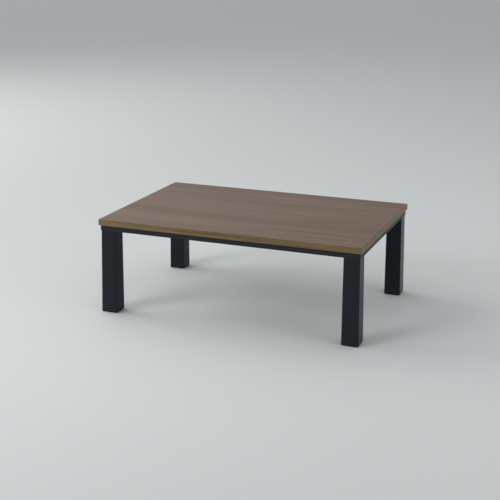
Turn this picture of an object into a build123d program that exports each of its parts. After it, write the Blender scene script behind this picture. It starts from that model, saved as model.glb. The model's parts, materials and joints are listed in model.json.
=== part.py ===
from build123d import *
import os

# Kotatsu: a low table with a lift-off top, a flat frame on four legs, and a fan heater under its middle.
# Millimetres. +X runs along the long side, +Y to the back, +Z up.
# The origin is on the floor, under the middle of the table.

# ---- Whole table ----
top_length = 1200.0
top_depth = 800.0
top_thickness = 27.0
table_height = 430.0
fit_gap = 0.05  # round a pin, bolt, screw or tube in its hole
pin_sides = 8  # flats round a bolt, screw or wire, and round its hole
round_sides = 16  # flats round a heating tube, a supply pin or a small part of the motor

# ---- Lift-off top: two sheets on a batten frame, banded all round ----
sheet_thickness = 3.0
band_thickness = 2.0
band_round = 1.0
edge_batten_width = 45.0
cross_batten_width = 30.0
cross_batten_count = 3
paper_thickness = 1.2
paper_strips_per_bay = 2
paper_waves = 3

# ---- Frame under the top ----
frame_inset = 6.5
frame_thickness = 23.0
frame_corner_round = 3.0
rail_width = 78.0
beam_width = 60.0
tie_width = 45.0
tenon_length = 12.0
tenon_thickness = 11.0
tenon_shoulder = 8.0
tenon_gap = 0.1
hole_end_gap = 0.5
corner_block_side = 55.0
corner_block_thickness = 20.0
rubber_side = 20.0
rubber_thickness = 3.0
rubber_proud = 0.5
rubber_gap = 0.3
rubber_place = 300.0

# ---- Legs ----
leg_setback = 2.0
leg_width = 70.0
leg_foot_width = 75.0
leg_edge_round = 4.0
leg_foot_chamfer = 1.5
foot_pad_width = 62.0
foot_pad_thickness = 2.0
foot_pad_cut = 6.0
bolt_radius = 4.0
bolt_length = 38.0
bolt_hole_gap = 0.6
bolt_head_radius = 7.5
bolt_head_height = 5.5
bolt_flange_radius = 8.5
bolt_flange_thickness = 1.6
bolt_sink = 0.6
bolt_spacing = 36.0
counterbore_gap = 1.5
insert_radius = 6.0
insert_length = 25.0

# ---- Heater: case, reflector and guard ----
heater_bay = 300.0
case_gap = 4.0
case_sheet = 1.0
case_headroom = 4.5
case_corner = 18.0
flange_overhang = 12.0
flange_corner_cut = 8.0
louvre_count = 7
louvre_pitch = 12.0
louvre_width = 3.5
louvre_length = 36.0
louvre_place = 50.0
reflector_sheet = 0.8
reflector_gap = 3.5
reflector_corner = 16.0
tube_place = 100.0
tube_drop = 7.5
trough_radius = 22.0
trough_end_gap = 6.0
shroud_radius = 59.0
shroud_height = 13.0
shroud_flare = 3.0
lead_slot_length = 10.0
lead_slot_width = 54.0
lead_slot_gap = 13.0
guard_overhang = 8.0
guard_wall = 2.5
guard_depth = 33.5
guard_corner = 22.0
guard_lip = 7.0
guard_ear_length = 26.0
guard_wire_radius = 1.1
guard_wire_pitch = 20.0
guard_wire_edge = 14.0
guard_cross_pitch = 62.0
guard_cross_count = 4
guard_wire_end_gap = 1.5
screw_place = 110.0
screw_radius = 2.0
screw_length = 16.0
screw_head_radius = 3.8
screw_head_height = 2.4

# ---- Heating tubes ----
tube_radius = 5.5
tube_wall = 1.0
tube_end_room = 15.5
ceramic_length = 16.0
ceramic_width = 18.0
ceramic_below_tube = 7.5
ceramic_socket = 8.0
coil_radius = 3.0
coil_cold_end = 18.0
coil_lead_radius = 0.8
coil_lead_end = 6.0
clip_sheet = 1.0
clip_width = 8.0
clip_foot = 6.0

# ---- Fan and motor ----
shaft_radius = 1.5
shaft_length = 40.0
bearing_gap = 0.04
bearing_radius = 4.0
rotor_radius = 10.0
rotor_air_gap = 0.5
stack_thickness = 12.0
stack_depth = 50.0
stack_short_end = 20.0
stack_long_end = 44.0
core_leg_width = 10.0
window_length = 17.0
window_width = 28.0
coil_gap = 0.3
winding_depth = 6.5
winding_width = 27.0
winding_over = 5.0
motor_bracket_sheet = 1.2
motor_bracket_width = 16.0
bearing_boss_radius = 6.0
bearing_boss_height = 3.8
motor_screw_radius = 1.6
motor_screw_place = 19.0
motor_screw_head_radius = 3.0
motor_screw_head_height = 2.2
motor_screw_end = 1.5
standoff_radius = 4.0
standoff_height = 4.8
fan_radius = 55.0
fan_drop = 9.0
fan_blade_count = 5
fan_blade_sheet = 1.4
fan_root_chord = 14.0
fan_tip_chord = 31.0
fan_pitch = 23.0
fan_camber_radius = 42.0
hub_radius = 11.0
hub_height = 12.0
hub_bevel = 2.0

# ---- Switches and supply inlet ----
thermostat_radius = 8.0
thermostat_height = 8.0
thermostat_tab = 1.0
thermostat_tab_height = 5.0
switch_x = 96.0
switch_y = 46.0
fuse_radius = 2.2
fuse_length = 14.0
fuse_cradle_length = 18.0
fuse_cradle_width = 9.0
fuse_cradle_height = 5.0
terminal_length = 24.0
terminal_width = 54.0
terminal_height = 14.0
terminal_gap = 12.0
inlet_width = 38.0
inlet_height = 24.0
inlet_depth = 34.0
inlet_proud = 4.0
inlet_wall = 3.0
inlet_recess_depth = 22.0
inlet_round = 3.0
inlet_notch_gap = 0.5
pin_radius = 2.0
pin_spacing = 14.0
pin_recess = 4.0
pin_tail = 5.0
lead_side = 3.0
lead_height = 7.0
coil_lead_place = 23.5

# ---- Levels and places that follow from the sizes ----
top_underside = table_height - top_thickness
frame_top = top_underside - rubber_proud
frame_bottom = frame_top - frame_thickness
frame_half_x = top_length / 2 - frame_inset
frame_half_y = top_depth / 2 - frame_inset
frame_middle = frame_bottom + frame_thickness / 2
rail_inner_x = frame_half_x - rail_width
rail_inner_y = frame_half_y - rail_width
leg_x = frame_half_x - leg_setback - leg_width / 2
leg_y = frame_half_y - leg_setback - leg_width / 2
foot_shift = (leg_foot_width - leg_width) / 2
counterbore_floor = frame_top - bolt_sink - bolt_head_height - bolt_flange_thickness
bay_half = heater_bay / 2
case_half = bay_half - case_gap
case_top = frame_top - case_headroom
case_ceiling = case_top - case_sheet
flange_underside = frame_bottom - case_sheet
reflector_underside = flange_underside - reflector_sheet
guard_half = bay_half + guard_overhang
guard_inner = guard_half - guard_wall
guard_bottom = flange_underside - guard_depth
flange_side = 2 * (guard_half + flange_overhang)
screw_row = guard_half + flange_overhang / 2
reflector_side = 2 * (guard_inner - reflector_gap)
tube_z = reflector_underside - tube_drop
ceramic_back = guard_inner - tube_end_room
ceramic_mouth = ceramic_back - ceramic_length
tube_end = ceramic_mouth + ceramic_socket
coil_end = tube_end - coil_cold_end
trough_end = ceramic_mouth - trough_end_gap
guard_wire_z = guard_bottom + guard_wall + guard_wire_radius + fit_gap
stack_top = case_ceiling - standoff_height - motor_bracket_sheet
stack_bottom = stack_top - stack_thickness
shaft_top = stack_top + motor_bracket_sheet + bearing_boss_height
fan_top = stack_bottom - fan_drop
inlet_outer = guard_half + inlet_proud
pin_tail_end = inlet_outer - inlet_depth - pin_tail
lead_slot_place = pin_tail_end - lead_slot_gap
terminal_place = lead_slot_place - terminal_gap - terminal_length
inlet_z = reflector_underside - inlet_height / 2
lead_z = flange_underside + lead_height
SIDES = (-1, 1)
CORNERS = {"front_left": (-1, -1), "front_right": (1, -1), "back_left": (-1, 1), "back_right": (1, 1)}


# ---- Shape helpers ----
def block(x, y, z):
    """A box between low and high in x, y and z."""
    centre = [(low + high) / 2 for low, high in (x, y, z)]
    return Pos(*centre) * Box(*[high - low for low, high in (x, y, z)])


def span(centre, size):
    """Low and high of a size set about a centre."""
    return centre - size / 2, centre + size / 2


def plate(side_x, side_y, corner, low, high):
    """A round-cornered plate about the Z axis."""
    return Pos(0, 0, low) * extrude(RectangleRounded(side_x, side_y, corner), high - low)


def rod_x(radius, low, high, y, z):
    return Pos((low + high) / 2, y, z) * Rot(0, 90, 0) * Cylinder(radius, high - low)


def rod_z(radius, low, high, x=0.0, y=0.0):
    return Pos(x, y, (low + high) / 2) * Cylinder(radius, high - low)


def flats_z(sides, radius, low, high, x=0.0, y=0.0, hole=False):
    """A rod of flat sides that fits inside the radius, or one that clears it when it cuts a hole."""
    section = RegularPolygon(radius, sides, major_radius=not hole)
    return Pos(x, y, low) * extrude(section, high - low)


def flats_x(sides, radius, low, high, y, z, hole=False):
    return Pos(low, y, z) * Rot(0, 90, 0) * flats_z(sides, radius, 0, high - low, hole=hole)


def bar_run(points, side):
    """A square bar that follows straight runs along the axes."""
    run = None
    for start, end in zip(points, points[1:]):
        piece = block(*[(min(a, b) - side / 2, max(a, b) + side / 2) for a, b in zip(start, end)])
        run = piece if run is None else run + piece
    return run


def both_ways(shape, plane):
    """A shape and its mirror image."""
    return [shape, mirror(shape, plane)]


def at_corner(shape, sx, sy):
    """A shape of the back right corner, mirrored to another corner."""
    if sx < 0:
        shape = mirror(shape, Plane.YZ)
    return mirror(shape, Plane.XZ) if sy < 0 else shape


def save(node, shapes):
    """Writes one node, as one solid or as a group of separate solids."""
    solids = [solid for shape in shapes for solid in shape.solids()]
    export_step(solids[0] if len(solids) == 1 else Compound(solids), f"parts/{node}.step")


# ---- Lift-off top ----
def edge_band(half_length, outer):
    """A band along X whose rounded show face looks to -Y."""
    band = block((-half_length, half_length), (-outer, -outer + band_thickness), (top_underside, table_height))
    show_edges = band.edges().filter_by(Axis.Y, reverse=True).group_by(Axis.Y)[0]
    return fillet(show_edges, band_round)


def paper_strip(x_low, x_high, y_half, z, first_side):
    """One folded strip of the paper core, whose flats meet those of its neighbours."""
    wave = 2 * y_half / paper_waves
    line = []
    for fold in range(paper_waves + 1):
        middle = -y_half + fold * wave
        at_high = (fold + first_side) % 2
        x = x_high - paper_thickness / 2 if at_high else x_low + paper_thickness / 2
        line.append((x, max(middle - wave / 4, -y_half)))
        line.append((x, min(middle + wave / 4, y_half)))
    left = [(x - paper_thickness / 2, y) for x, y in line]
    right = [(x + paper_thickness / 2, y) for x, y in reversed(line)]
    outline = make_face(Polyline(*left, *right, close=True))
    return Pos(0, 0, z[0]) * extrude(outline, z[1] - z[0], dir=(0, 0, 1))


def tabletop():
    half_x = top_length / 2 - band_thickness
    half_y = top_depth / 2 - band_thickness
    core = (top_underside + sheet_thickness, table_height - sheet_thickness)
    x, y = (-half_x, half_x), (-half_y, half_y)
    save("tabletop_top_sheet", [block(x, y, (core[1], table_height))])
    save("tabletop_bottom_sheet", [block(x, y, (top_underside, core[0]))])
    long_band = edge_band(top_length / 2, top_depth / 2)
    short_band = Rot(0, 0, -90) * edge_band(half_y, top_length / 2)
    save("edge_band_front", [long_band])
    save("edge_band_back", [Rot(0, 0, 180) * long_band])
    save("edge_band_left", [short_band])
    save("edge_band_right", [Rot(0, 0, 180) * short_band])

    inner_x, inner_y = half_x - edge_batten_width, half_y - edge_batten_width
    save("core_long_battens", both_ways(block(x, (inner_y, half_y), core), Plane.XZ))
    save("core_end_battens", both_ways(block((inner_x, half_x), (-inner_y, inner_y), core), Plane.YZ))
    bay = (2 * inner_x - cross_batten_count * cross_batten_width) / (cross_batten_count + 1)
    bay_starts = [-inner_x + i * (bay + cross_batten_width) for i in range(cross_batten_count + 1)]
    save("core_cross_battens", [block((start - cross_batten_width, start), (-inner_y, inner_y), core)
                                for start in bay_starts[1:]])
    strip = bay / paper_strips_per_bay
    save("core_paper", [paper_strip(start + i * strip, start + (i + 1) * strip, inner_y, core, i % 2)
                        for start in bay_starts for i in range(paper_strips_per_bay)])


# ---- Frame ----
def tenon(axis, width, shoulder, length, gap=0.0):
    """A stub tenon past a shoulder on X or Y, or with a gap the cutter for its mortise."""
    reach = (shoulder - hole_end_gap, shoulder + length)
    sides = span(0, width - 2 * tenon_shoulder + 2 * gap)
    thick = span(frame_middle, tenon_thickness + 2 * gap)
    return block(reach, sides, thick) if axis == "x" else block(sides, reach, thick)


def mortise(axis, width, shoulder):
    return tenon(axis, width, shoulder, tenon_length + hole_end_gap, tenon_gap)


def bolt_places(sx, sy):
    """The two leg bolts of a corner, in line along X."""
    return [(sx * leg_x + side * bolt_spacing / 2, sy * leg_y) for side in SIDES]


def rubber_seat(x, y):
    seat = rubber_side + 2 * rubber_gap
    return block(span(x, seat), span(y, seat), (top_underside - rubber_thickness, top_underside))


def long_rail():
    """The back rail, with its mortises, leg bolt holes and rubber seats."""
    rail = block((-frame_half_x, frame_half_x), (rail_inner_y, frame_half_y), (frame_bottom, frame_top))
    rail = fillet(rail.edges().filter_by(Axis.Z).group_by(Axis.Y)[-1], frame_corner_round)
    for sx in SIDES:
        for x, y in bolt_places(sx, 1):
            rail -= flats_z(pin_sides, bolt_radius + bolt_hole_gap, frame_bottom, frame_top, x, y, hole=True)
            rail -= flats_z(pin_sides, bolt_flange_radius + counterbore_gap, counterbore_floor, frame_top, x, y,
                            hole=True)
        rail -= Pos(sx * (frame_half_x - rail_width / 2), 0, 0) * mortise("y", rail_width, rail_inner_y)
        rail -= Pos(sx * (bay_half + beam_width / 2), 0, 0) * mortise("y", beam_width, rail_inner_y)
        rail -= rubber_seat(sx * rubber_place, frame_half_y - rail_width / 2)
    return rail


def short_rail():
    """The right rail, tenoned into the long ones."""
    middle = frame_half_x - rail_width / 2
    rail = block(span(middle, rail_width), (-rail_inner_y, rail_inner_y), (frame_bottom, frame_top))
    for stub in both_ways(tenon("y", rail_width, rail_inner_y, tenon_length), Plane.XZ):
        rail += Pos(middle, 0, 0) * stub
    return rail - rubber_seat(middle, 0)


def heater_beam():
    """The bearer right of the heater, tenoned into the long rails and mortised for the ties."""
    middle = bay_half + beam_width / 2
    beam = block(span(middle, beam_width), (-rail_inner_y, rail_inner_y), (frame_bottom, frame_top))
    for stub in both_ways(tenon("y", beam_width, rail_inner_y, tenon_length), Plane.XZ):
        beam += Pos(middle, 0, 0) * stub
    for sy in SIDES:
        beam -= Pos(0, sy * (bay_half + tie_width / 2), 0) * mortise("x", tie_width, bay_half)
        beam -= screw_hole(screw_row, sy * screw_place)
    return beam


def heater_tie():
    """The cross piece behind the heater, between the beams."""
    middle = bay_half + tie_width / 2
    tie = block((-bay_half, bay_half), span(middle, tie_width), (frame_bottom, frame_top))
    for stub in both_ways(tenon("x", tie_width, bay_half, tenon_length), Plane.YZ):
        tie += Pos(0, middle, 0) * stub
    for sx in SIDES:
        tie -= screw_hole(sx * screw_place, screw_row)
    return tie


def frame():
    for node, shape, plane, names in (("frame_rail", long_rail(), Plane.XZ, ("back", "front")),
                                      ("frame_rail", short_rail(), Plane.YZ, ("right", "left")),
                                      ("heater_beam", heater_beam(), Plane.YZ, ("right", "left")),
                                      ("heater_tie", heater_tie(), Plane.XZ, ("back", "front"))):
        for name, one in zip(names, both_ways(shape, plane)):
            save(f"{node}_{name}", [one])
    gussets = []
    for sx, sy in CORNERS.values():
        x, y = sx * rail_inner_x, sy * rail_inner_y
        outline = Polyline((x, y), (x - sx * corner_block_side, y), (x, y - sy * corner_block_side), close=True)
        gusset = extrude(make_face(outline), corner_block_thickness, dir=(0, 0, 1))
        gussets.append(Pos(0, 0, frame_bottom) * gusset)
    save("corner_blocks", gussets)
    rail_x, rail_y = frame_half_x - rail_width / 2, frame_half_y - rail_width / 2
    seats = [(sx * rubber_place, sy * rail_y) for sx, sy in CORNERS.values()] + [(-rail_x, 0), (rail_x, 0)]
    save("top_rubbers", [block(span(x, rubber_side), span(y, rubber_side),
                               (top_underside - rubber_thickness, top_underside)) for x, y in seats])


# ---- Legs ----
def leg():
    """The back right leg: upright inside, flared to the foot outside, and bored for its two insert nuts."""
    sections = ((foot_pad_thickness, foot_shift, leg_foot_width - 2 * leg_foot_chamfer),
                (foot_pad_thickness + leg_foot_chamfer, foot_shift, leg_foot_width), (frame_bottom, 0, leg_width))
    outlines = [Pos(leg_x + shift, leg_y + shift, z) * RectangleRounded(width, width, leg_edge_round)
                for z, shift, width in sections]
    post = loft(outlines, ruled=True)
    floor = frame_bottom - insert_length - hole_end_gap
    for x, y in bolt_places(1, 1):
        post -= flats_z(pin_sides, insert_radius + fit_gap, floor, frame_bottom, x, y, hole=True)
    return post


def leg_bolt(x, y):
    """A hexagon flange bolt that draws the leg up to the frame."""
    seat = counterbore_floor + bolt_flange_thickness
    bolt = flats_z(6, bolt_head_radius, seat, seat + bolt_head_height, x, y)
    bolt += flats_z(pin_sides, bolt_flange_radius, counterbore_floor, seat, x, y)
    return bolt + flats_z(pin_sides, bolt_radius, counterbore_floor - bolt_length, counterbore_floor, x, y)


def insert_nut(x, y):
    levels = (frame_bottom - insert_length, frame_bottom)
    nut = flats_z(pin_sides, insert_radius, *levels, x, y)
    return nut - flats_z(pin_sides, bolt_radius + fit_gap, *levels, x, y, hole=True)


def legs():
    post = leg()
    pad = block(span(leg_x + foot_shift, foot_pad_width), span(leg_y + foot_shift, foot_pad_width),
                (0, foot_pad_thickness))
    pad = chamfer(pad.edges().filter_by(Axis.Z), foot_pad_cut)
    for name, (sx, sy) in CORNERS.items():
        save(f"leg_{name}", [at_corner(post, sx, sy)])
    places = [place for sx, sy in CORNERS.values() for place in bolt_places(sx, sy)]
    save("foot_pads", [at_corner(pad, sx, sy) for sx, sy in CORNERS.values()])
    save("leg_bolts", [leg_bolt(x, y) for x, y in places])
    save("leg_insert_nuts", [insert_nut(x, y) for x, y in places])


# ---- Heater case, reflector and guard ----
def screw_hole(x, y):
    """The hole of a case or guard screw, up through the sheets and into the wood."""
    top = frame_bottom + screw_length
    return flats_z(pin_sides, screw_radius + fit_gap, flange_underside - guard_wall, top, x, y, hole=True)


def wood_screw(x, y, seat):
    """A screw driven up from its seat."""
    head = flats_z(pin_sides, screw_head_radius, seat - screw_head_height, seat, x, y)
    return head + flats_z(pin_sides, screw_radius, seat, seat + screw_length, x, y)


def heater_case():
    """A pressed pan let up into the bay, with a flange under the beams and louvres over the fan."""
    side = 2 * case_half
    inner = side - 2 * case_sheet
    roof = (case_ceiling, case_top)
    flange = block(span(0, flange_side), span(0, flange_side), (flange_underside, frame_bottom))
    pan = chamfer(flange.edges().filter_by(Axis.Z), flange_corner_cut)
    pan += plate(side, side, case_corner, frame_bottom, case_top)
    pan -= plate(inner, inner, case_corner - case_sheet, flange_underside, case_ceiling)
    for sy in SIDES:
        for i in range(louvre_count):
            x = (i - (louvre_count - 1) / 2) * louvre_pitch
            pan -= block(span(x, louvre_width), span(sy * louvre_place, louvre_length), roof)
        pan -= motor_screw_cut(*roof, sy)
    for sx, sy in CORNERS.values():
        pan -= screw_hole(sx * screw_row, sy * screw_place)
        pan -= screw_hole(sx * screw_place, sy * screw_row)
    return pan


def heater_reflector():
    """The bright plate over the tubes: two half-round troughs, and a flared shroud round the fan."""
    sheet = plate(reflector_side, reflector_side, reflector_corner, reflector_underside, flange_underside)
    above = block(span(0, reflector_side), span(0, reflector_side), (reflector_underside, case_ceiling))
    for sy in SIDES:
        ends = (-trough_end - reflector_sheet, trough_end + reflector_sheet)
        sheet += rod_x(trough_radius + reflector_sheet, *ends, sy * tube_place, tube_z) & above
        sheet -= rod_x(trough_radius, -trough_end, trough_end, sy * tube_place, tube_z)
    low, wall = reflector_underside - shroud_height, shroud_radius + reflector_sheet
    ring = Polyline((shroud_radius, low), (wall, low), (wall, reflector_underside - shroud_flare),
                    (wall + shroud_flare, reflector_underside), (wall + shroud_flare, flange_underside),
                    (shroud_radius + shroud_flare, flange_underside),
                    (shroud_radius, flange_underside - shroud_flare), close=True)
    sheet -= rod_z(wall + shroud_flare, reflector_underside, flange_underside)
    sheet += revolve(Plane.XZ * make_face(ring), Axis.Z)
    return sheet - block(span(-lead_slot_place, lead_slot_length), span(0, lead_slot_width),
                         (reflector_underside, flange_underside))


def guard_frame():
    """The skirt round the heater, with a lip for the wires, screw ears and a notch for the inlet."""
    skirt = plate(2 * guard_half, 2 * guard_half, guard_corner, guard_bottom, flange_underside)
    inner = 2 * guard_inner
    skirt -= plate(inner, inner, guard_corner - guard_wall, guard_bottom + guard_wall, flange_underside)
    hole = inner - 2 * guard_lip
    skirt -= plate(hole, hole, guard_corner - guard_wall - guard_lip, guard_bottom, guard_bottom + guard_wall)
    ear = block(span(screw_place, guard_ear_length), (guard_half - guard_wall / 2, flange_side / 2),
                (flange_underside - guard_wall, flange_underside)) - screw_hole(screw_place, screw_row)
    for one in both_ways(ear, Plane.YZ):
        skirt += both_ways(one, Plane.XZ)
    notch = inlet_width + 2 * inlet_notch_gap
    return skirt - block((-guard_half, -guard_inner), span(0, notch),
                         (inlet_z - inlet_height / 2 - inlet_notch_gap, flange_underside))


def heater_shell():
    save("heater_case", [heater_case()])
    save("heater_reflector", [heater_reflector()])
    save("heater_guard_frame", [guard_frame()])
    reach = guard_inner - guard_wire_end_gap
    spaces = int(2 * (guard_inner - guard_wire_edge) / guard_wire_pitch)
    rows = [(i - spaces / 2) * guard_wire_pitch for i in range(spaces + 1)]
    columns = [(i - (guard_cross_count - 1) / 2) * guard_cross_pitch for i in range(guard_cross_count)]
    upper = guard_wire_z + 2 * guard_wire_radius + fit_gap
    cross = flats_x(pin_sides, guard_wire_radius, rows[0], rows[-1], 0, upper)
    save("guard_wires", [flats_x(pin_sides, guard_wire_radius, -reach, reach, y, guard_wire_z) for y in rows])
    save("guard_cross_wires", [Pos(x, 0, 0) * Rot(0, 0, 90) * cross for x in columns])
    save("case_screws", [wood_screw(sx * screw_row, sy * screw_place, flange_underside)
                         for sx, sy in CORNERS.values()])
    save("guard_screws", [wood_screw(sx * screw_place, sy * screw_row, flange_underside - guard_wall)
                          for sx, sy in CORNERS.values()])


# ---- Heating tubes ----
def ceramic_end():
    """The block under the reflector that holds the right end of a tube and passes its lead."""
    body = block((ceramic_mouth, ceramic_back), span(0, ceramic_width),
                 (tube_z - ceramic_below_tube, reflector_underside))
    body -= flats_x(pin_sides, tube_radius + fit_gap, ceramic_mouth, tube_end + hole_end_gap, 0, tube_z, True)
    return body - flats_x(pin_sides, coil_lead_radius + fit_gap, ceramic_mouth, ceramic_back, 0, tube_z, True)


def tube_clip():
    """The steel strap that hangs a ceramic end from the reflector."""
    x = span(ceramic_back - ceramic_length / 2, clip_width)
    across, low = ceramic_width + 2 * fit_gap, tube_z - ceramic_below_tube - fit_gap
    strap = block(x, span(0, across + 2 * clip_sheet), (low - clip_sheet, reflector_underside))
    strap += block(x, span(0, across + 2 * clip_foot), (reflector_underside - clip_sheet, reflector_underside))
    return strap - block(x, span(0, across), (low, reflector_underside))


def heating_tube():
    """A quartz tube, and its wound coil drawn as a rod with a thinner lead at each end."""
    tube = flats_x(round_sides, tube_radius, -tube_end, tube_end, 0, tube_z)
    tube -= flats_x(round_sides, tube_radius - tube_wall, -tube_end, tube_end, 0, tube_z, hole=True)
    lead_end = ceramic_back + coil_lead_end
    coil = flats_x(round_sides, coil_radius, -coil_end, coil_end, 0, tube_z)
    coil += flats_x(pin_sides, coil_lead_radius, -lead_end, lead_end, 0, tube_z)
    return tube, coil


def heating_tubes():
    tube, coil = heating_tube()
    rows = [Pos(0, sy * tube_place, 0) for sy in SIDES]
    save("quartz_tubes", [row * tube for row in rows])
    save("heating_coils", [row * coil for row in rows])
    save("tube_ceramics", [row * one for row in rows for one in both_ways(ceramic_end(), Plane.YZ)])
    save("tube_clips", [row * one for row in rows for one in both_ways(tube_clip(), Plane.YZ)])

    bar_x = ceramic_back + fit_gap + lead_side / 2
    link = bar_run([(bar_x, -tube_place, tube_z), (bar_x, tube_place, tube_z)], lead_side)
    lead_end = -terminal_place - terminal_length - lead_side / 2
    lead = bar_run([(-bar_x, tube_place, tube_z), (-bar_x, coil_lead_place, tube_z),
                    (-lead_slot_place, coil_lead_place, tube_z), (-lead_slot_place, coil_lead_place, lead_z),
                    (lead_end, coil_lead_place, lead_z)], lead_side)
    for sy in SIDES:
        hole = flats_x(pin_sides, coil_lead_radius + fit_gap, -2 * bar_x, 2 * bar_x, sy * tube_place, tube_z,
                       hole=True)
        link -= hole
        lead -= hole
    save("coil_link", [link])
    save("coil_leads", both_ways(lead, Plane.XZ))


# ---- Fan and motor ----
def fan_blade():
    """One pressed blade: cambered across its chord, wider to the tip and set at a pitch."""
    root, tip = hub_radius - fan_blade_sheet, fan_radius + fan_blade_sheet
    rise = fan_camber_radius - (fan_camber_radius ** 2 - (fan_tip_chord / 2) ** 2) ** 0.5
    under = rise / 2 - fan_camber_radius - fan_blade_sheet / 2
    pressed = rod_x(fan_camber_radius + fan_blade_sheet, root, tip, 0, under)
    pressed -= rod_x(fan_camber_radius, root, tip, 0, under)
    outline = Polyline((root, -fan_root_chord / 2), (tip, -fan_tip_chord / 2), (tip, fan_tip_chord / 2),
                       (root, fan_root_chord / 2), close=True)
    pressed &= Pos(0, 0, -rise) * extrude(make_face(outline), 3 * rise, dir=(0, 0, 1))
    blade = Pos(0, 0, fan_top - hub_height / 2) * Rot(fan_pitch, 0, 0) * pressed
    return blade & rod_z(fan_radius, fan_top - 2 * hub_height, fan_top + hub_height)


def fan_wheel():
    hub = rod_z(hub_radius, fan_top - hub_height, fan_top)
    hub = chamfer(hub.edges().sort_by(Axis.Z)[0], hub_bevel)
    blade = fan_blade()
    for i in range(fan_blade_count):
        hub += Rot(0, 0, i * 360 / fan_blade_count) * blade
    return hub - rod_z(shaft_radius + fit_gap, fan_top - hub_height, fan_top)


def motor_screw_cut(low, high, sy):
    return flats_z(pin_sides, motor_screw_radius + fit_gap, low, high, 0, sy * motor_screw_place, hole=True)


def motor_bracket():
    """The strap across the top of the stack, with a boss for the bearing."""
    low, sheet_top = stack_top, stack_top + motor_bracket_sheet
    strap = block(span(0, motor_bracket_width), span(0, stack_depth), (low, sheet_top))
    strap += flats_z(round_sides, bearing_boss_radius, low, sheet_top + bearing_boss_height)
    strap -= flats_z(pin_sides, bearing_radius + fit_gap, low, sheet_top + bearing_boss_height, hole=True)
    for sy in SIDES:
        strap -= motor_screw_cut(low, sheet_top, sy)
    return strap


def bearing():
    bush = flats_z(pin_sides, bearing_radius, stack_top, shaft_top)
    return bush - rod_z(shaft_radius + bearing_gap, stack_top, shaft_top)


def motor_stack():
    """The laminated C of a shaded-pole motor: a rotor bore at one end, a core leg at the other."""
    stack = block((-stack_short_end, stack_long_end), span(0, stack_depth), (stack_bottom, stack_top))
    stack -= flats_z(round_sides, rotor_radius + rotor_air_gap, stack_bottom, stack_top, hole=True)
    window = stack_long_end - core_leg_width
    stack -= block((window - window_length, window), span(0, window_width), (stack_bottom, stack_top))
    for sy in SIDES:
        stack -= motor_screw_cut(stack_bottom, stack_top, sy)
    return stack


def motor_winding():
    """The coil round the core leg."""
    core = (stack_long_end - core_leg_width - coil_gap, stack_long_end + coil_gap)
    outside = (core[0] - winding_depth, core[1] + winding_depth)
    winding = block(outside, span(0, winding_width), (stack_bottom - winding_over, stack_top + winding_over))
    winding = chamfer(winding.edges().filter_by(Axis.Y), winding_depth / 3)
    return winding - block(core, span(0, winding_width), (stack_bottom - coil_gap, stack_top + coil_gap))


def motor_screw(sy):
    """A long screw up through the motor and its standoff into the case."""
    seat, y = stack_bottom - motor_bracket_sheet, sy * motor_screw_place
    screw = flats_z(pin_sides, motor_screw_radius, seat, case_top + motor_screw_end, 0, y)
    return screw + flats_z(pin_sides, motor_screw_head_radius, seat - motor_screw_head_height, seat, 0, y)


def motor_standoff(sy):
    low = stack_top + motor_bracket_sheet
    return flats_z(6, standoff_radius, low, case_ceiling, 0, sy * motor_screw_place) - motor_screw_cut(
        low, case_ceiling, sy)


def fan_and_motor():
    middle = Plane.XY.offset((stack_top + stack_bottom) / 2)
    for name, one in zip(("upper", "lower"), both_ways(motor_bracket(), middle)):
        save(f"motor_bracket_{name}", [one])
    save("motor_bearings", both_ways(bearing(), middle))
    save("motor_stack", [motor_stack()])
    save("motor_winding", [motor_winding()])
    save("motor_screws", [motor_screw(sy) for sy in SIDES])
    save("motor_standoffs", [motor_standoff(sy) for sy in SIDES])
    rotor = flats_z(round_sides, rotor_radius, stack_bottom, stack_top)
    rotor -= flats_z(round_sides, shaft_radius + fit_gap, stack_bottom, stack_top, hole=True)
    save("motor_rotor", [rotor])
    save("fan_shaft", [rod_z(shaft_radius, shaft_top - shaft_length, shaft_top)])
    save("fan_wheel", [fan_wheel()])


# ---- Switches and supply inlet ----
def thermostat():
    """A disc thermostat on the reflector, with its two tabs up."""
    top = flange_underside + thermostat_height
    body = flats_z(round_sides, thermostat_radius, flange_underside, top, -switch_x, -switch_y)
    for x in span(-switch_x, thermostat_radius):
        body += block(span(x, thermostat_tab), span(-switch_y, thermostat_radius / 2),
                      (top, top + thermostat_tab_height))
    return body


def inlet_housing():
    """The socket for the supply cord, open to -X through the guard's notch."""
    x = (-inlet_outer, -inlet_outer + inlet_depth)
    body = block(x, span(0, inlet_width), span(inlet_z, inlet_height))
    body = fillet(body.edges().filter_by(Axis.X).group_by(Axis.Z)[0], inlet_round)
    body -= block((x[0], x[0] + inlet_recess_depth), span(0, inlet_width - 2 * inlet_wall),
                  span(inlet_z, inlet_height - 2 * inlet_wall))
    for y in span(0, pin_spacing):
        body -= flats_x(pin_sides, pin_radius + fit_gap, *x, y, inlet_z, hole=True)
    return body


def inlet_lead():
    """The bar from an inlet pin, up through the reflector's slot to the terminal block."""
    start = -pin_tail_end + lead_side / 2
    end = -terminal_place - terminal_length - lead_side / 2
    y = pin_spacing / 2
    return bar_run([(start, y, inlet_z), (-lead_slot_place, y, inlet_z), (-lead_slot_place, y, lead_z),
                    (end, y, lead_z)], lead_side)


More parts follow.
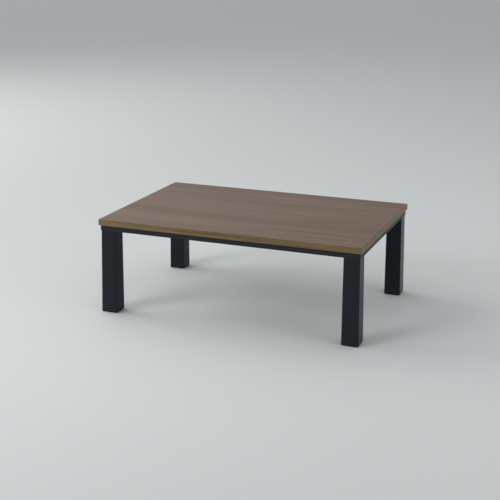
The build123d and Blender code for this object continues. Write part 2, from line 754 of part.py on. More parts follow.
def supply():
    save("thermostat", [thermostat()])
    fuse_z = flange_underside + fuse_cradle_height
    fuse_ends, hole_ends = span(-switch_x, fuse_length), span(-switch_x, fuse_length + 2 * fit_gap)
    cradle = block(span(-switch_x, fuse_cradle_length), span(switch_y, fuse_cradle_width),
                   (flange_underside, fuse_z))
    cradle -= flats_x(round_sides, fuse_radius + fit_gap, *hole_ends, switch_y, fuse_z, True)
    save("thermal_fuse", [flats_x(round_sides, fuse_radius, *fuse_ends, switch_y, fuse_z)])
    save("fuse_cradle", [cradle])
    save("terminal_block", [block((-terminal_place - terminal_length, -terminal_place), span(0, terminal_width),
                                  (flange_underside, flange_underside + terminal_height))])
    save("inlet_housing", [inlet_housing()])
    pins = (-inlet_outer + pin_recess, -pin_tail_end)
    save("inlet_pins", [flats_x(round_sides, pin_radius, *pins, y, inlet_z) for y in span(0, pin_spacing)])
    save("inlet_leads", both_ways(inlet_lead(), Plane.XZ))


os.makedirs("parts", exist_ok=True)
tabletop()
frame()
legs()
heater_shell()
heating_tubes()
fan_and_motor()
supply()
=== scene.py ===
import json
import math

import bmesh
import bpy
from mathutils import Matrix, Vector


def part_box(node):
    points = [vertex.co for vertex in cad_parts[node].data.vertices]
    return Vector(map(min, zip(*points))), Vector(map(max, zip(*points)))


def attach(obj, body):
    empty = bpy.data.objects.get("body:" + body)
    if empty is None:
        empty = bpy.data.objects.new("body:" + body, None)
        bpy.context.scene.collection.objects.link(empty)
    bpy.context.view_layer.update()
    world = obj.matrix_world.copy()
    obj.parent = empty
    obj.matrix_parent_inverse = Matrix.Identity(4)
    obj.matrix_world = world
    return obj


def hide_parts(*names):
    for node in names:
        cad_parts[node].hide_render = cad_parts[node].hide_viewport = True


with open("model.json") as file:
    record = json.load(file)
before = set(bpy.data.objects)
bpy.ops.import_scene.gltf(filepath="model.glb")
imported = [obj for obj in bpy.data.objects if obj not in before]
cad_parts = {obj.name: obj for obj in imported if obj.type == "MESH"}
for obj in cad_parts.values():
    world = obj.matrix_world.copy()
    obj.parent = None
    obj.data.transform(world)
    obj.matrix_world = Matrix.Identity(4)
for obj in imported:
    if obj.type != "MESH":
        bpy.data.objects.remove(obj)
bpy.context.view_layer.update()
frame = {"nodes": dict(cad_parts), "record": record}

NODES = frame["nodes"]
BODY_OF = {node: body for body, nodes in frame["record"]["behaviour"]["bodies"].items() for node in nodes}

# ---- Where the object is seen from: angles in radians, place in metres, lens in millimetres ----
HEADING = 0.368852
DIP = 0.240439
ROLL = 0.005613
EYE = (1.68776, -4.46499, 1.65306)
LENS = 77.967
LENS_SHIFT = -0.1

# ---- Joining and easing of the solids: metres and degrees ----
WELD = 2e-6
SLIVER = 1e-7
FLAT_ANGLE = 0.5
HARD_ANGLE = 40.0
SMOOTH_ANGLE = 35.0
LEG_SMOOTH_ANGLE = 25.0
EASING_STEPS = 2
RAIL_EDGE = 0.0006
PAD_EDGE = 0.0005

# ---- Small sizes of the pieces that are grown by rule: metres, and shares of the head's own size ----
GUARD_WIRES = 15
GUARD_CROSS_WIRES = 4
COIL_TURNS = 150.0
COIL_WIRE_RADIUS = 0.00035
COIL_HALF_LENGTH = 0.114
COIL_LEAD_GAP = 0.003
LEAD_RADIUS = 0.0008
BOLT_FLANGE = 0.0085
BOLT_FLANGE_SHEET = 0.0016
BOLT_HEAD = 0.0075
BOLT_HEAD_HEIGHT = 0.0055
BOLT_CROWN = 0.0008
BOLT_SHANK = 0.004
BOLT_SPACING = 0.036
BOLT_RIM_SHARE = 0.9
BOLT_CROWN_FOOT_SHARE = 0.86
BOLT_CROWN_TOP_SHARE = 0.74
SCREW_HEAD = 0.0038
SCREW_HEAD_HEIGHT = 0.0024
SCREW_SHANK = 0.002
SCREW_CUTTER = 0.02
SCREW_RECESS_SHARE = 1.15
SCREW_SLOT_SHARE = 0.24
SCREW_CUT_DEPTH_SHARE = 1.05


# ---- Node trees: one wire class for sums, one method for every other node ----
class Wire:
    """An output socket. Sums, products and quotients with it add Math nodes."""

    def __init__(self, tree, socket):
        self.tree, self.socket = tree, socket

    def math(self, operation, first, second=0.0):
        return self.tree.add("ShaderNodeMath", {"operation": operation}, {0: first, 1: second})

    def __add__(self, other):
        return self.math("ADD", self, other)

    def __sub__(self, other):
        return self.math("SUBTRACT", self, other)

    def __rsub__(self, other):
        return self.math("SUBTRACT", other, self)

    def __mul__(self, other):
        return self.math("MULTIPLY", self, other)

    def __truediv__(self, other):
        return self.math("DIVIDE", self, other)

    def __rtruediv__(self, other):
        return self.math("DIVIDE", other, self)

    __radd__, __rmul__ = __add__, __mul__


class Tree:
    """A node tree under construction."""

    def __init__(self, nodes):
        self.tree = nodes

    def add(self, kind, settings=None, inputs=None, out=0):
        """Adds a node, sets it, feeds its sockets and gives back one of its outputs."""
        node = self.tree.nodes.new(kind)
        for name, value in (settings or {}).items():
            if name == "stops":
                while len(node.color_ramp.elements) < len(value):
                    node.color_ramp.elements.new(0.5)
                for stop, (place, colour) in zip(node.color_ramp.elements, value):
                    stop.position, stop.color = place, (*colour, 1)
            else:
                setattr(node, name, value)
        for name, value in (inputs or {}).items():
            if isinstance(value, Wire):
                self.tree.links.new(value.socket, node.inputs[name])
            else:
                node.inputs[name].default_value = value
        return Wire(self, node.outputs[out])


class Pattern(Tree):
    """A geometry tree with named sizes, grown from points and turned into one plain mesh."""

    def __init__(self, name, **sizes):
        super().__init__(bpy.data.node_groups.new(name, "GeometryNodeTree"))
        self.sizes = sizes
        self.tree.interface.new_socket(name="Points", in_out="INPUT", socket_type="NodeSocketGeometry")
        for label, value in sizes.items():
            kind = "NodeSocketInt" if isinstance(value, int) else "NodeSocketFloat"
            self.tree.interface.new_socket(name=label, in_out="INPUT", socket_type=kind)
        self.tree.interface.new_socket(name="Mesh", in_out="OUTPUT", socket_type="NodeSocketGeometry")
        self.entry = self.tree.nodes.new("NodeGroupInput")

    def __getitem__(self, label):
        """A named size, or the points that the pattern grows from."""
        return Wire(self, self.entry.outputs[label])

    def vector(self, x=0.0, y=0.0, z=0.0):
        return self.add("ShaderNodeCombineXYZ", {}, {"X": x, "Y": y, "Z": z})

    def join(self, *parts):
        joined = self.tree.nodes.new("GeometryNodeJoinGeometry")
        for part in parts:
            self.tree.links.new(part.socket, joined.inputs[0])
        return Wire(self, joined.outputs[0])

    def move(self, part, shift=(0, 0, 0), turn=(0, 0, 0), scale=(1, 1, 1)):
        return self.add("GeometryNodeTransform", {}, {"Geometry": part, "Translation": shift, "Scale": scale,
                                                      "Rotation": [math.radians(a) for a in turn]})

    def drum(self, sides, radius, low, high):
        """An upright solid of flat sides between two levels."""
        form = self.add("GeometryNodeMeshCylinder", {},
                        {"Vertices": sides, "Radius": radius, "Depth": high - low})
        return self.move(form, self.vector(z=(high + low) * 0.5))

    def rod(self, start, end, radius, sides=10):
        """A round rod between two points."""
        line = self.add("GeometryNodeCurvePrimitiveLine", {}, {"Start": start, "End": end})
        return self.tube(line, radius, sides)

    def tube(self, line, radius, sides):
        """A line made round, with closed ends."""
        ring = self.add("GeometryNodeCurvePrimitiveCircle", {}, {"Resolution": sides, "Radius": radius})
        return self.add("GeometryNodeCurveToMesh", {},
                        {"Curve": line, "Profile Curve": ring, "Fill Caps": True})

    def grown(self, form, finish, points):
        """Sets the form on each point, evaluates the tree and gives back the mesh."""
        copies = self.add("GeometryNodeInstanceOnPoints", {}, {"Points": self["Points"], "Instance": form})
        solid = self.add("GeometryNodeRealizeInstances", {}, {0: copies})
        coloured = self.add("GeometryNodeSetMaterial", {}, {"Geometry": solid, "Material": FINISH[finish]})
        self.tree.links.new(coloured.socket, self.tree.nodes.new("NodeGroupOutput").inputs[0])
        seeds = bpy.data.meshes.new(self.tree.name)
        seeds.from_pydata([tuple(point) for point in points], [], [])
        host = bpy.data.objects.new(self.tree.name, seeds)
        bpy.context.scene.collection.objects.link(host)
        modifier = host.modifiers.new("pattern", "NODES")
        modifier.node_group = self.tree
        for socket in self.tree.interface.items_tree:
            if socket.name in self.sizes:
                modifier[socket.identifier] = self.sizes[socket.name]
        graph = bpy.context.evaluated_depsgraph_get()
        mesh = bpy.data.meshes.new_from_object(host.evaluated_get(graph))
        bpy.data.objects.remove(host)
        return mesh


class Finish(Tree):
    """A material whose colour, roughness and bump may vary over the surface."""

    def __init__(self, name, **constants):
        self.material = bpy.data.materials.new(name)
        self.material.use_nodes = True
        super().__init__(self.material.node_tree)
        self.shader = self.tree.nodes["Principled BSDF"]
        for socket, value in constants.items():
            self.shader.inputs[socket.replace("_", " ")].default_value = value
        self.place = self.add("ShaderNodeTexCoord", out="Object")

    def at(self, scale, turn=(0, 0, 0), shift=(0, 0, 0)):
        """The piece's own coordinates, scaled, turned and shifted."""
        angles = [math.radians(angle) for angle in turn]
        return self.add("ShaderNodeMapping", {},
                        {"Vector": self.place, "Location": shift, "Rotation": angles, "Scale": scale})

    def noise(self, scale, detail, rough=0.55):
        """Soft noise from 0 to 1, with one scale per axis in cycles per metre."""
        return self.add("ShaderNodeTexNoise", {},
                        {"Vector": self.at(scale), "Scale": 1.0, "Detail": detail, "Roughness": rough})

    def ramp(self, value, *stops):
        """A colour for each value, blended between the stops."""
        return self.add("ShaderNodeValToRGB", {"stops": stops}, {"Fac": value})

    def mask(self, value, low, high):
        """0 below low, 1 above high."""
        return self.add("ShaderNodeMapRange", {"interpolation_type": "SMOOTHSTEP"},
                        {"Value": value, "From Min": low, "From Max": high})

    def mix(self, amount, first, second):
        """The first colour where the amount is 0, the second where it is 1."""
        colours = [c if isinstance(c, Wire) else (*c, 1) for c in (first, second)]
        return self.add("ShaderNodeMix", {"data_type": "RGBA"},
                        {0: amount, 6: colours[0], 7: colours[1]}, out=2)

    def paint(self, colour=None, roughness=None, bump=None, strength=0.2, depth=0.0005):
        """Feeds the shader and gives back the material."""
        for socket, value in (("Base Color", colour), ("Roughness", roughness)):
            if isinstance(value, Wire):
                self.tree.links.new(value.socket, self.shader.inputs[socket])
            elif value is not None:
                self.shader.inputs[socket].default_value = (*value, 1) if socket == "Base Color" else value
        if bump is not None:
            normal = self.add("ShaderNodeBump", {}, {"Height": bump, "Strength": strength, "Distance": depth})
            self.tree.links.new(normal.socket, self.shader.inputs["Normal"])
        return self.material


# ---- Finishes ----
WALNUT_STOPS = ((0.34, (0.052, 0.027, 0.014)), (0.48, (0.112, 0.062, 0.034)),
                (0.60, (0.160, 0.095, 0.055)), (0.74, (0.215, 0.138, 0.085)))
PORE = (0.03, 0.017, 0.011)


def walnut(name, turn=0.0, tint=(1.0, 1.0, 1.0), plank=0.1, seed=0.0):
    """Walnut print: planks side by side, with long streaks, fine fibres and short pores along the grain."""
    wood = Finish(name, Specular_IOR_Level=0.30)
    laid = wood.at((1, 1, 1), (0, 0, turn), (seed, seed, 0))
    split = wood.add("ShaderNodeSeparateXYZ", {}, {0: laid}, out="Y")
    across = split / plank
    board = across.math("FLOOR", across)
    chance = wood.add("ShaderNodeTexWhiteNoise", {"noise_dimensions": "1D"}, {"W": board + 7.3})
    slide = wood.add("ShaderNodeCombineXYZ", {}, {"X": chance * 9.0, "Y": chance * 0.8, "Z": 0.0})
    moved = wood.add("ShaderNodeVectorMath", {"operation": "ADD"}, {0: laid, 1: slide})

    def stretched(along, cross, detail, rough=0.55, warp=0.0):
        scaled = wood.add("ShaderNodeVectorMath", {"operation": "MULTIPLY"},
                          {0: moved, 1: (along, cross, cross)})
        return wood.add("ShaderNodeTexNoise", {}, {"Vector": scaled, "Scale": 1.0, "Detail": detail,
                                                   "Roughness": rough, "Distortion": warp})

    streaks = stretched(1.1, 26.0, 3.0, 0.6, 0.35)
    rings = stretched(2.3, 90.0, 5.0, 0.62, 0.5)
    fibres = stretched(9.0, 620.0, 4.0, 0.7)
    pores = wood.mask(stretched(38.0, 1500.0, 2.0), 0.60, 0.70)
    tone = streaks * 0.34 + rings * 0.36 + fibres * 0.20 + chance * 0.10
    stops = [(place, [shade * share for shade, share in zip(brown, tint)]) for place, brown in WALNUT_STOPS]
    colour = wood.mix(pores * 0.45, wood.ramp(tone, *stops), PORE)
    return wood.paint(colour, wood.mask(fibres, 0.2, 0.8) * 0.10 + 0.36, fibres * 0.6 - pores, 0.16, 0.0002)


def plain_wood(name, colours):
    """Bare timber with a straight grain."""
    wood = Finish(name, Specular_IOR_Level=0.3)
    scale = (1.5, 60, 60)
    rings = wood.noise(scale, 4.0)
    fibres = wood.noise([s * 9 for s in scale], 3.0)
    colour = wood.ramp(rings * 0.75 + fibres * 0.25, (0.35, colours[0]), (0.65, colours[1]))
    return wood.paint(colour, fibres * 0.15 + 0.6, fibres, 0.25, 0.0003)


def black_wood(name, colour, along, roughness, shine):
    """Black stained wood whose grain shows faintly through the lacquer."""
    wood = Finish(name, Specular_IOR_Level=shine)
    scale = {"X": (3.0, 240, 240), "Y": (240, 3.0, 240), "Z": (240, 240, 3.0)}[along]
    grain = wood.noise(scale, 5.0)
    broad = wood.noise([s * 0.12 for s in scale], 2.0)
    tone = wood.mix(grain * 0.25 + broad * 0.2, colour, [c * 1.7 + 0.003 for c in colour])
    return wood.paint(tone, broad * 0.12 + (roughness - 0.06), grain, 0.18, 0.00025)


def metal(name, colour, roughness, scale=(60, 60, 60), bump=0.08, spread=0.12):
    """Metal with soft stains and a faint surface."""
    plate = Finish(name, Metallic=1.0)
    stain = plate.noise([s * 0.15 for s in scale], 3.0)
    fine = plate.noise([s * 8 for s in scale], 3.0)
    tone = plate.mix(stain * 0.7, colour, [c * (1 - spread * 2) for c in colour])
    return plate.paint(tone, stain * spread + fine * 0.06 + (roughness - spread / 2), fine, bump, 0.0001)


def galvanised():
    """Zinc coated sheet with its spangle."""
    sheet = Finish("galvanised_sheet", Metallic=1.0)
    cells = sheet.add("ShaderNodeTexVoronoi", {"feature": "F1"},
                      {"Vector": sheet.at((90, 90, 90)), "Scale": 1.0}, out="Color")
    value = sheet.add("ShaderNodeSeparateColor", {}, {0: cells}, out=0)
    tone = sheet.mix(value, (0.46, 0.48, 0.50), (0.62, 0.64, 0.65))
    return sheet.paint(tone, value * 0.22 + 0.28, value, 0.06, 0.0002)


def moulded(name, colour, roughness=0.5, grit=900, bump=0.25):
    """Moulded plastic or rubber with a fine texture."""
    plastic = Finish(name, Specular_IOR_Level=0.4)
    grain = plastic.noise((grit, grit, grit), 2.0)
    soft = plastic.noise((22, 22, 22), 3.0)
    tone = plastic.mix(soft * 0.5, colour, [c * 0.8 for c in colour])
    return plastic.paint(tone, soft * 0.1 + grain * 0.08 + (roughness - 0.08), grain, bump, 0.0001)


def felt():
    """Pressed grey felt."""
    cloth = Finish("grey_felt", Specular_IOR_Level=0.1, Sheen_Weight=0.4, Sheen_Roughness=0.6)
    fluff = cloth.noise((700, 700, 700), 5.0, rough=0.75)
    tone = cloth.ramp(fluff, (0.3, (0.05, 0.047, 0.045)), (0.7, (0.16, 0.15, 0.145)))
    return cloth.paint(tone, 0.95, fluff, 0.6, 0.0006)


def flocked():
    """Wire with a short heat-proof flock."""
    coat = Finish("flocked_wire", Specular_IOR_Level=0.2, Sheen_Weight=0.5, Sheen_Roughness=0.5)
    fuzz = coat.noise((2400, 2400, 2400), 4.0, rough=0.7)
    tone = coat.ramp(fuzz, (0.3, (0.012, 0.012, 0.013)), (0.75, (0.05, 0.05, 0.052)))
    return coat.paint(tone, 0.85, fuzz, 0.5, 0.0003)


def quartz():
    """Clear tube glass with a faint haze."""
    glass = Finish("quartz_glass", Transmission_Weight=1.0, IOR=1.46)
    haze = glass.noise((30, 200, 200), 3.0)
    return glass.paint(glass.mix(haze, (0.95, 0.94, 0.92), (0.86, 0.85, 0.82)), haze * 0.08 + 0.02)


def laminated():
    """Stacked motor plates, seen as fine lines on their edges."""
    steel = Finish("laminated_steel", Metallic=0.8)
    lines = steel.add("ShaderNodeTexWave", {"bands_direction": "Z"},
                      {"Vector": steel.at((1, 1, 1)), "Scale": 320.0, "Distortion": 0.0})
    stain = steel.noise((60, 60, 60), 3.0)
    tone = steel.mix(lines * 0.6 + stain * 0.3, (0.10, 0.10, 0.11), (0.30, 0.30, 0.31))
    return steel.paint(tone, stain * 0.2 + 0.35, lines, 0.4, 0.0003)


def taped():
    """Amber tape wound round a motor coil."""
    tape = Finish("amber_tape", Coat_Weight=0.5, Coat_Roughness=0.15)
    turns = tape.add("ShaderNodeTexWave", {"bands_direction": "Y"},
                     {"Vector": tape.at((1, 1, 1)), "Scale": 45.0, "Distortion": 1.5, "Detail": 1.0})
    tone = tape.mix(turns, (0.32, 0.17, 0.03), (0.58, 0.33, 0.07))
    return tape.paint(tone, turns * 0.15 + 0.3, turns, 0.3, 0.0003)


def backing():
    """Plain brown backing sheet under the top."""
    sheet = Finish("backing_sheet", Specular_IOR_Level=0.3)
    speck = sheet.noise((260, 260, 260), 5.0, rough=0.7)
    cloud = sheet.noise((6, 6, 6), 3.0)
    tone = sheet.ramp(speck * 0.6 + cloud * 0.4, (0.35, (0.10, 0.066, 0.044)), (0.65, (0.17, 0.115, 0.078)))
    return sheet.paint(tone, 0.62, speck, 0.25, 0.0002)


FINISH = {
    "top": walnut("walnut_print_top", 0.0, (0.955, 0.93, 0.96)),
    "long_band": walnut("walnut_print_long_edge", 0.0, (1.16, 1.33, 0.98), 0.5, 0.37),
    "end_band": walnut("walnut_print_end_edge", 90.0, (1.18, 1.33, 1.18), 0.5, 0.61),
    "backing": backing(),
    "core": plain_wood("core_softwood", ((0.30, 0.19, 0.10), (0.47, 0.33, 0.19))),
    "paper": moulded("core_paper", (0.42, 0.31, 0.20), 0.85, 500),
    "frame_x": black_wood("black_stain_long_rails", (0.0085, 0.0072, 0.0115), "X", 0.45, 0.24),
    "frame_y": black_wood("black_stain_cross_rails", (0.0085, 0.0072, 0.0115), "Y", 0.45, 0.24),
    "leg": black_wood("black_lacquer_legs", (0.0128, 0.0144, 0.0188), "Z", 0.20, 0.07),
    "rubber": moulded("black_rubber", (0.018, 0.018, 0.018), 0.8, 600),
    "felt": felt(),
    "zinc": metal("zinc_plate", (0.60, 0.59, 0.55), 0.35),
    "brass": metal("brass", (0.70, 0.52, 0.25), 0.3),
    "case": galvanised(),
    "reflector": metal("bright_aluminium", (0.90, 0.91, 0.92), 0.16, (40, 40, 40), 0.04, 0.06),
    "guard": moulded("black_guard_plastic", (0.022, 0.022, 0.024), 0.45, 1200, 0.35),
    "wire": flocked(),
    "quartz": quartz(),
    "coil": metal("resistance_wire", (0.30, 0.25, 0.21), 0.45),
    "ceramic": moulded("white_ceramic", (0.74, 0.72, 0.67), 0.6, 800, 0.15),
    "stack": laminated(),
    "tape": taped(),
    "bronze": metal("sintered_bronze", (0.46, 0.31, 0.16), 0.5),
    "fan": metal("fan_aluminium", (0.74, 0.75, 0.76), 0.3, (60, 60, 60), 0.1, 0.1),
    "shaft": metal("ground_steel", (0.66, 0.66, 0.67), 0.2),
    "black": moulded("black_moulding", (0.030, 0.030, 0.030), 0.42),
    "ivory": moulded("ivory_moulding", (0.70, 0.66, 0.54), 0.42, 700, 0.1),
    "copper": metal("copper_bar", (0.72, 0.36, 0.22), 0.35),
}


# ---- Pieces ----
def put(name, form, finish, node, smooth=SMOOTH_ANGLE):
    """Makes a piece of a form, rides it on its node's body and shows it for the nodes given."""
    nodes = [node] if isinstance(node, str) else node
    mesh = form
    if isinstance(form, bmesh.types.BMesh):
        mesh = bpy.data.meshes.new(name)
        form.to_mesh(mesh)
        form.free()
    mesh.materials.clear()
    mesh.materials.append(FINISH[finish])
    mesh.shade_smooth()
    mesh.set_sharp_from_angle(angle=math.radians(smooth))
    piece = bpy.data.objects.new(name, mesh)
    bpy.context.scene.collection.objects.link(piece)
    level = piece.modifiers.new("flat faces stay flat", "WEIGHTED_NORMAL")
    level.keep_sharp = True
    graph = bpy.context.evaluated_depsgraph_get()
    mesh = bpy.data.meshes.new_from_object(piece.evaluated_get(graph))
    piece.modifiers.clear()
    piece.data = mesh
    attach(piece, BODY_OF[nodes[0]])
    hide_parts(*nodes)
    return piece


def softened(node, finish, edge=0.0, smooth=SMOOTH_ANGLE):
    """A node's own solid with its facets joined, its hard edges eased and its curves shaded smooth."""
    form = bmesh.new()
    form.from_mesh(NODES[node].data)
    bmesh.ops.remove_doubles(form, verts=form.verts, dist=WELD)
    bmesh.ops.dissolve_limit(form, angle_limit=math.radians(FLAT_ANGLE), verts=form.verts, edges=form.edges)
    if edge:
        limit = math.radians(HARD_ANGLE)
        hard = [e for e in form.edges if len(e.link_faces) == 2 and e.calc_face_angle(0) > limit]
        bmesh.ops.bevel(form, geom=hard, offset=edge, segments=EASING_STEPS, profile=0.5, affect="EDGES",
                        clamp_overlap=True)
        bmesh.ops.dissolve_degenerate(form, dist=SLIVER, edges=form.edges)
    return put(node + "_piece", form, finish, node, smooth)


def cover(finish, *nodes):
    """A finish on CAD solids that show as they are."""
    for node in nodes:
        NODES[node].data.materials.clear()
        NODES[node].data.materials.append(FINISH[finish])


def middle(node):
    """The middle of a node's box."""
    low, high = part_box(node)
    return (Vector(low) + Vector(high)) / 2


def guard_grille():
    """Round flocked wires along the guard, on four that cross them."""
    for node, along, count in (("guard_wires", "x", GUARD_WIRES),
                               ("guard_cross_wires", "y", GUARD_CROSS_WIRES)):
        low, high = (Vector(corner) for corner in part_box(node))
        radius, place = (high.z - low.z) / 2, middle(node)
        half = high.x if along == "x" else high.y
        edge = (high.y if along == "x" else high.x) - radius
        rows = [edge * (2 * i / (count - 1) - 1) for i in range(count)]
        points = [(0, row, place.z) if along == "x" else (row, 0, place.z) for row in rows]
        wires = Pattern(node, radius=radius, half_length=half)
        reach = {along: wires["half_length"]}
        back = {along: wires["half_length"] * -1}
        wire = wires.rod(wires.vector(**back), wires.vector(**reach), wires["radius"])
        put(node + "_piece", wires.grown(wire, "wire", points), "wire", node)


def wound_coils():
    """Resistance wire wound inside each tube, with a straight lead out of each end."""
    low, high = (Vector(corner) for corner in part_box("heating_coils"))
    radius = (high.z - low.z) / 2
    row = high.y - radius
    coils = Pattern("wound_coils", turns=COIL_TURNS, radius=radius - COIL_WIRE_RADIUS, wire=COIL_WIRE_RADIUS,
                    half_length=COIL_HALF_LENGTH, lead=LEAD_RADIUS, lead_end=high.x)
    spiral = coils.add("GeometryNodeCurveSpiral", {}, {"Resolution": 12, "Rotations": coils["turns"],
                                                       "Start Radius": coils["radius"],
                                                       "End Radius": coils["radius"],
                                                       "Height": coils["half_length"] * 2})
    wound = coils.move(coils.tube(spiral, coils["wire"], 6), coils.vector(x=coils["half_length"] * -1),
                       (0, 90, 0))
    parts = [wound]
    for side in (-1, 1):
        turn_end = coils.vector(coils["half_length"] * side, 0.0, coils["radius"] * -1)
        lead_start = coils.vector(coils["half_length"] * side + side * COIL_LEAD_GAP)
        parts.append(coils.rod(turn_end, lead_start, coils["wire"], 6))
        parts.append(coils.rod(lead_start, coils.vector(coils["lead_end"] * side), coils["lead"]))
    points = [(0, sy * row, middle("heating_coils").z) for sy in (-1, 1)]
    put("heating_coils_piece", coils.grown(coils.join(*parts), "coil", points), "coil", "heating_coils")


def leg_fasteners():
    """Hexagon flange bolts, two to a corner, in the counterbores of the long rails."""
    low, high = (Vector(corner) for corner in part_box("leg_bolts"))
    outer, row = high.x - BOLT_FLANGE, high.y - BOLT_FLANGE
    columns = (outer, outer - BOLT_SPACING)
    places = [(sx * x, sy * row, 0) for sx in (-1, 1) for x in columns for sy in (-1, 1)]
    seat = high.z - BOLT_HEAD_HEIGHT
    bolts = Pattern("leg_fasteners", flange=BOLT_FLANGE, head=BOLT_HEAD, shank=BOLT_SHANK,
                    sheet=BOLT_FLANGE_SHEET, crown=BOLT_CROWN, low=low.z, seat=seat, high=high.z)
    rim = bolts.add("GeometryNodeMeshCone", {}, {"Vertices": 32, "Radius Bottom": bolts["flange"],
                                                 "Radius Top": bolts["head"] * BOLT_RIM_SHARE,
                                                 "Depth": bolts["sheet"]})
    rim = bolts.move(rim, bolts.vector(z=bolts["seat"] - bolts["sheet"]))
    head = bolts.drum(6, bolts["head"], bolts["seat"], bolts["high"] - bolts["crown"])
    crown = bolts.add("GeometryNodeMeshCone", {}, {"Vertices": 24, "Depth": bolts["crown"],
                                                   "Radius Top": bolts["head"] * BOLT_CROWN_TOP_SHARE,
                                                   "Radius Bottom": bolts["head"] * BOLT_CROWN_FOOT_SHARE})
    crown = bolts.move(crown, bolts.vector(z=bolts["high"] - bolts["crown"]))
    shank = bolts.drum(20, bolts["shank"], bolts["low"], bolts["seat"] - bolts["sheet"])
    grown = bolts.grown(bolts.join(rim, head, crown, shank), "zinc", places)
    put("leg_bolts_piece", grown, "zinc", "leg_bolts", 30)


def wood_screws(node, places):
    """Pan-head screws with a cross recess, heads down."""
    low, high = (Vector(corner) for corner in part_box(node))
    seat = low.z + SCREW_HEAD_HEIGHT
    screws = Pattern(node, head=SCREW_HEAD, height=SCREW_HEAD_HEIGHT, shank=SCREW_SHANK, seat=seat,
                     high=high.z, recess=SCREW_HEAD * SCREW_RECESS_SHARE, cutter=SCREW_CUTTER,
                     slot=SCREW_HEAD * SCREW_SLOT_SHARE)
    dome = screws.add("GeometryNodeMeshUVSphere", {}, {"Segments": 28, "Rings": 16, "Radius": 1.0})
    dome = screws.move(dome, screws.vector(z=screws["seat"]),
                       scale=screws.vector(screws["head"], screws["head"], screws["height"]))
    cube = screws.vector(screws["cutter"], screws["cutter"], screws["cutter"])
    above = screws.add("GeometryNodeMeshCube", {}, {"Size": cube})
    cuts = [screws.move(above, screws.vector(z=screws["seat"] + screws["cutter"] / 2))]
    recess = screws.vector(screws["recess"], screws["slot"], screws["height"])
    for across in (0, 90):
        bar = screws.add("GeometryNodeMeshCube", {}, {"Size": recess})
        depth = screws.vector(z=screws["seat"] - screws["height"] * SCREW_CUT_DEPTH_SHARE)
        cuts.append(screws.move(bar, depth, (0, 0, across)))
    cut = screws.tree.nodes.new("GeometryNodeMeshBoolean")
    cut.operation, cut.solver = "DIFFERENCE", "EXACT"
    screws.tree.links.new(dome.socket, cut.inputs["Mesh 1"])
    for part in cuts:
        screws.tree.links.new(part.socket, cut.inputs["Mesh 2"])
    shank = screws.drum(14, screws["shank"], screws["seat"], screws["high"])
    form = screws.join(Wire(screws, cut.outputs[0]), shank)
    put(node + "_piece", screws.grown(form, "zinc", places), "zinc", node, 40)


def table_wood():
    """The top, the frame under it and the four legs with their bolts and pads."""
    cover("top", "tabletop_top_sheet")
    cover("backing", "tabletop_bottom_sheet")
    cover("core", "core_long_battens", "core_end_battens", "core_cross_battens")
    cover("paper", "core_paper")
    for side in ("front", "back"):
        softened(f"edge_band_{side}", "long_band")
        softened(f"frame_rail_{side}", "frame_x", RAIL_EDGE)
        softened(f"heater_tie_{side}", "frame_x", RAIL_EDGE)
    for side in ("left", "right"):
        softened(f"edge_band_{side}", "end_band")
        softened(f"frame_rail_{side}", "frame_y", RAIL_EDGE)
        softened(f"heater_beam_{side}", "frame_y", RAIL_EDGE)
    cover("frame_x", "corner_blocks")
    cover("rubber", "top_rubbers")
    for corner in ("front_left", "front_right", "back_left", "back_right"):
        softened(f"leg_{corner}", "leg", 0.0, LEG_SMOOTH_ANGLE)
    softened("foot_pads", "felt", PAD_EDGE)
    leg_fasteners()
    cover("brass", "leg_insert_nuts")


def heater():
    """The fan heater in its bay, each small piece with its edges eased by its own amount."""
    softened("heater_case", "case")
    softened("heater_reflector", "reflector")
    softened("heater_guard_frame", "guard", 0.0008)
    for node, finish, edge in (("quartz_tubes", "quartz", 0), ("tube_ceramics", "ceramic", 0.0005),
                               ("tube_clips", "zinc", 0.0002), ("coil_link", "copper", 0.0004),
                               ("coil_leads", "copper", 0.0004), ("inlet_leads", "copper", 0.0004),
                               ("inlet_housing", "black", 0.0005), ("inlet_pins", "brass", 0.0004),
                               ("terminal_block", "ivory", 0.0006), ("thermostat", "ivory", 0.0003),
                               ("thermal_fuse", "zinc", 0), ("fuse_cradle", "ceramic", 0.0004),
                               ("motor_bracket_upper", "zinc", 0.0002),
                               ("motor_bracket_lower", "zinc", 0.0002),
                               ("motor_stack", "stack", 0.0002), ("motor_winding", "tape", 0.0012),
                               ("motor_standoffs", "zinc", 0.0002), ("motor_screws", "zinc", 0.0003),
                               ("motor_bearings", "bronze", 0), ("motor_rotor", "stack", 0),
                               ("fan_shaft", "shaft", 0.0003), ("fan_wheel", "fan", 0)):
        softened(node, finish, edge)
    guard_grille()
    wound_coils()
    for node in ("case_screws", "guard_screws"):
        corner = Vector(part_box(node)[1])
        reach = (corner.x - SCREW_HEAD, corner.y - SCREW_HEAD)
        wood_screws(node, [(sx * reach[0], sy * reach[1], 0) for sx in (-1, 1) for sy in (-1, 1)])


# ---- Studio: each lamp's name, place, size, watts, spread in degrees and colour ----
LAMPS = (("wide_left", (-8.0, 0.0, 4.0), 5.0, 343, 180, (1.0, 0.99, 0.97)),
         ("wide_back_left", (-6.5, 3.5, 5.0), 5.0, 111, 180, (1.0, 0.99, 0.97)),
         ("narrow_front", (-2.8, -4.0, 2.6), 2.6, 13.7, 50, (0.97, 0.985, 1.0)),
         ("soft_right", (4.2, -1.0, 1.8), 2.4, 33, 180, (1.0, 0.99, 0.96)))
LAMP_TARGET = (0, 0, 0.2)
FLOOR_RADIUS = 40.0
FLOOR_COLOUR = (0.60, 0.622, 0.612)
SKY_COLOUR = (0.93, 0.96, 1.0, 1)
SKY_STRENGTH = 0.583
# Painted shade and reflection of the surround: near-white on the left of the view, grey on the right; it
# lights nothing.
SURROUND_PAINTED_SHADE_STOPS = ((0.34, (0.92, 0.94, 0.93)), (0.66, (0.42, 0.412, 0.404)))


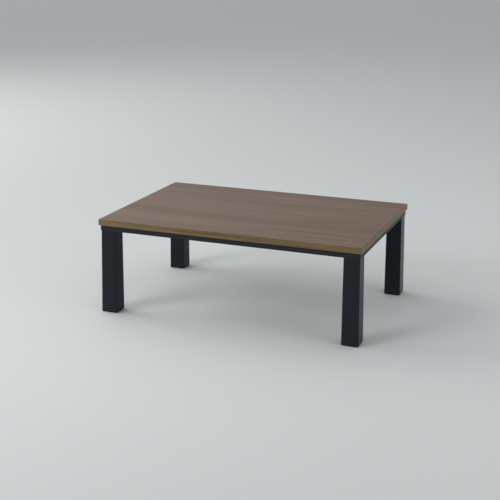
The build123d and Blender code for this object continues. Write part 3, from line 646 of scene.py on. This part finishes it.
def studio():
    """A pale floor, soft light from above and the left, and a pale surround with painted shade: bright on the
    left of the view, darker on the right, seen by the camera and in reflections.
    """
    form = bmesh.new()
    bmesh.ops.create_circle(form, cap_ends=True, segments=96, radius=FLOOR_RADIUS)
    mesh = bpy.data.meshes.new("floor")
    form.to_mesh(mesh)
    form.free()
    floor = bpy.data.objects.new("floor", mesh)
    bpy.context.scene.collection.objects.link(floor)
    paper = Finish("pale_floor", Specular_IOR_Level=0.25, Roughness=0.6)
    paper.paint(FLOOR_COLOUR)
    under = paper.add("ShaderNodeNewGeometry", out="Backfacing")
    clear = paper.add("ShaderNodeBsdfTransparent")
    solid = Wire(paper, paper.shader.outputs[0])
    mixed = paper.add("ShaderNodeMixShader", {}, {0: under, 1: solid, 2: clear})
    paper.tree.links.new(mixed.socket, paper.tree.nodes["Material Output"].inputs[0])
    mesh.materials.append(paper.material)

    world = bpy.data.worlds.new("studio")
    world.use_nodes = True
    bpy.context.scene.world = world
    sky = Tree(world.node_tree)
    straight, glossy, through = (sky.add("ShaderNodeLightPath", out=f"Is {kind} Ray")
                                 for kind in ("Camera", "Glossy", "Transmission"))
    seen = straight + glossy + through
    lit = sky.add("ShaderNodeBackground", {}, {"Color": SKY_COLOUR, "Strength": SKY_STRENGTH})
    ray = sky.add("ShaderNodeTexCoord", out="Generated")
    east, north = (sky.add("ShaderNodeSeparateXYZ", {}, {0: ray}, out=axis) for axis in "XY")
    rightward = east * (math.cos(HEADING) / 2) + north * (math.sin(HEADING) / 2) + 0.5
    # Painted shade across the surround, set by the camera's heading: lighter on the left of the view, darker
    # on the right.
    shade = sky.add("ShaderNodeValToRGB", {"stops": SURROUND_PAINTED_SHADE_STOPS}, {"Fac": rightward})
    pale = sky.add("ShaderNodeBackground", {}, {"Color": shade, "Strength": 1.0})
    capped = seen.math("MINIMUM", seen, 1.0)
    # Camera, glossy and transmission rays see the painted surround, so the backdrop and the reflections carry
    # its painted shade; other rays see the plain sky light.
    both = sky.add("ShaderNodeMixShader", {}, {0: capped, 1: lit, 2: pale})
    world.node_tree.links.new(both.socket, world.node_tree.nodes["World Output"].inputs[0])

    for name, place, size, watts, spread, colour in LAMPS:
        light = bpy.data.lights.new(name, "AREA")
        light.size, light.energy, light.color = size, watts, colour
        light.spread = math.radians(spread)
        lamp = bpy.data.objects.new(name, light)
        lamp.location = place
        lamp.rotation_euler = (Vector(LAMP_TARGET) - Vector(place)).to_track_quat("-Z", "Y").to_euler()
        bpy.context.scene.collection.objects.link(lamp)
    bpy.context.scene.view_settings.view_transform = "Standard"


def camera():
    """A long lens from the right of the front, a little above the top."""
    level = math.cos(DIP)
    look = Vector((-math.sin(HEADING) * level, math.cos(HEADING) * level, -math.sin(DIP)))
    right = Vector((math.cos(HEADING), math.sin(HEADING), 0))
    up = right.cross(look)
    side = right * math.cos(ROLL) + up * math.sin(ROLL)
    rise = up * math.cos(ROLL) - right * math.sin(ROLL)
    lens = bpy.data.cameras.new("camera")
    lens.lens, lens.shift_y = LENS, LENS_SHIFT
    lens.clip_end = 200
    view = bpy.data.objects.new("camera", lens)
    turned = Matrix([(side[i], rise[i], -look[i]) for i in range(3)])
    view.matrix_world = Matrix.Translation(EYE) @ turned.to_4x4()
    bpy.context.scene.collection.objects.link(view)
    bpy.context.scene.camera = view


camera()
studio()
table_wood()
heater()
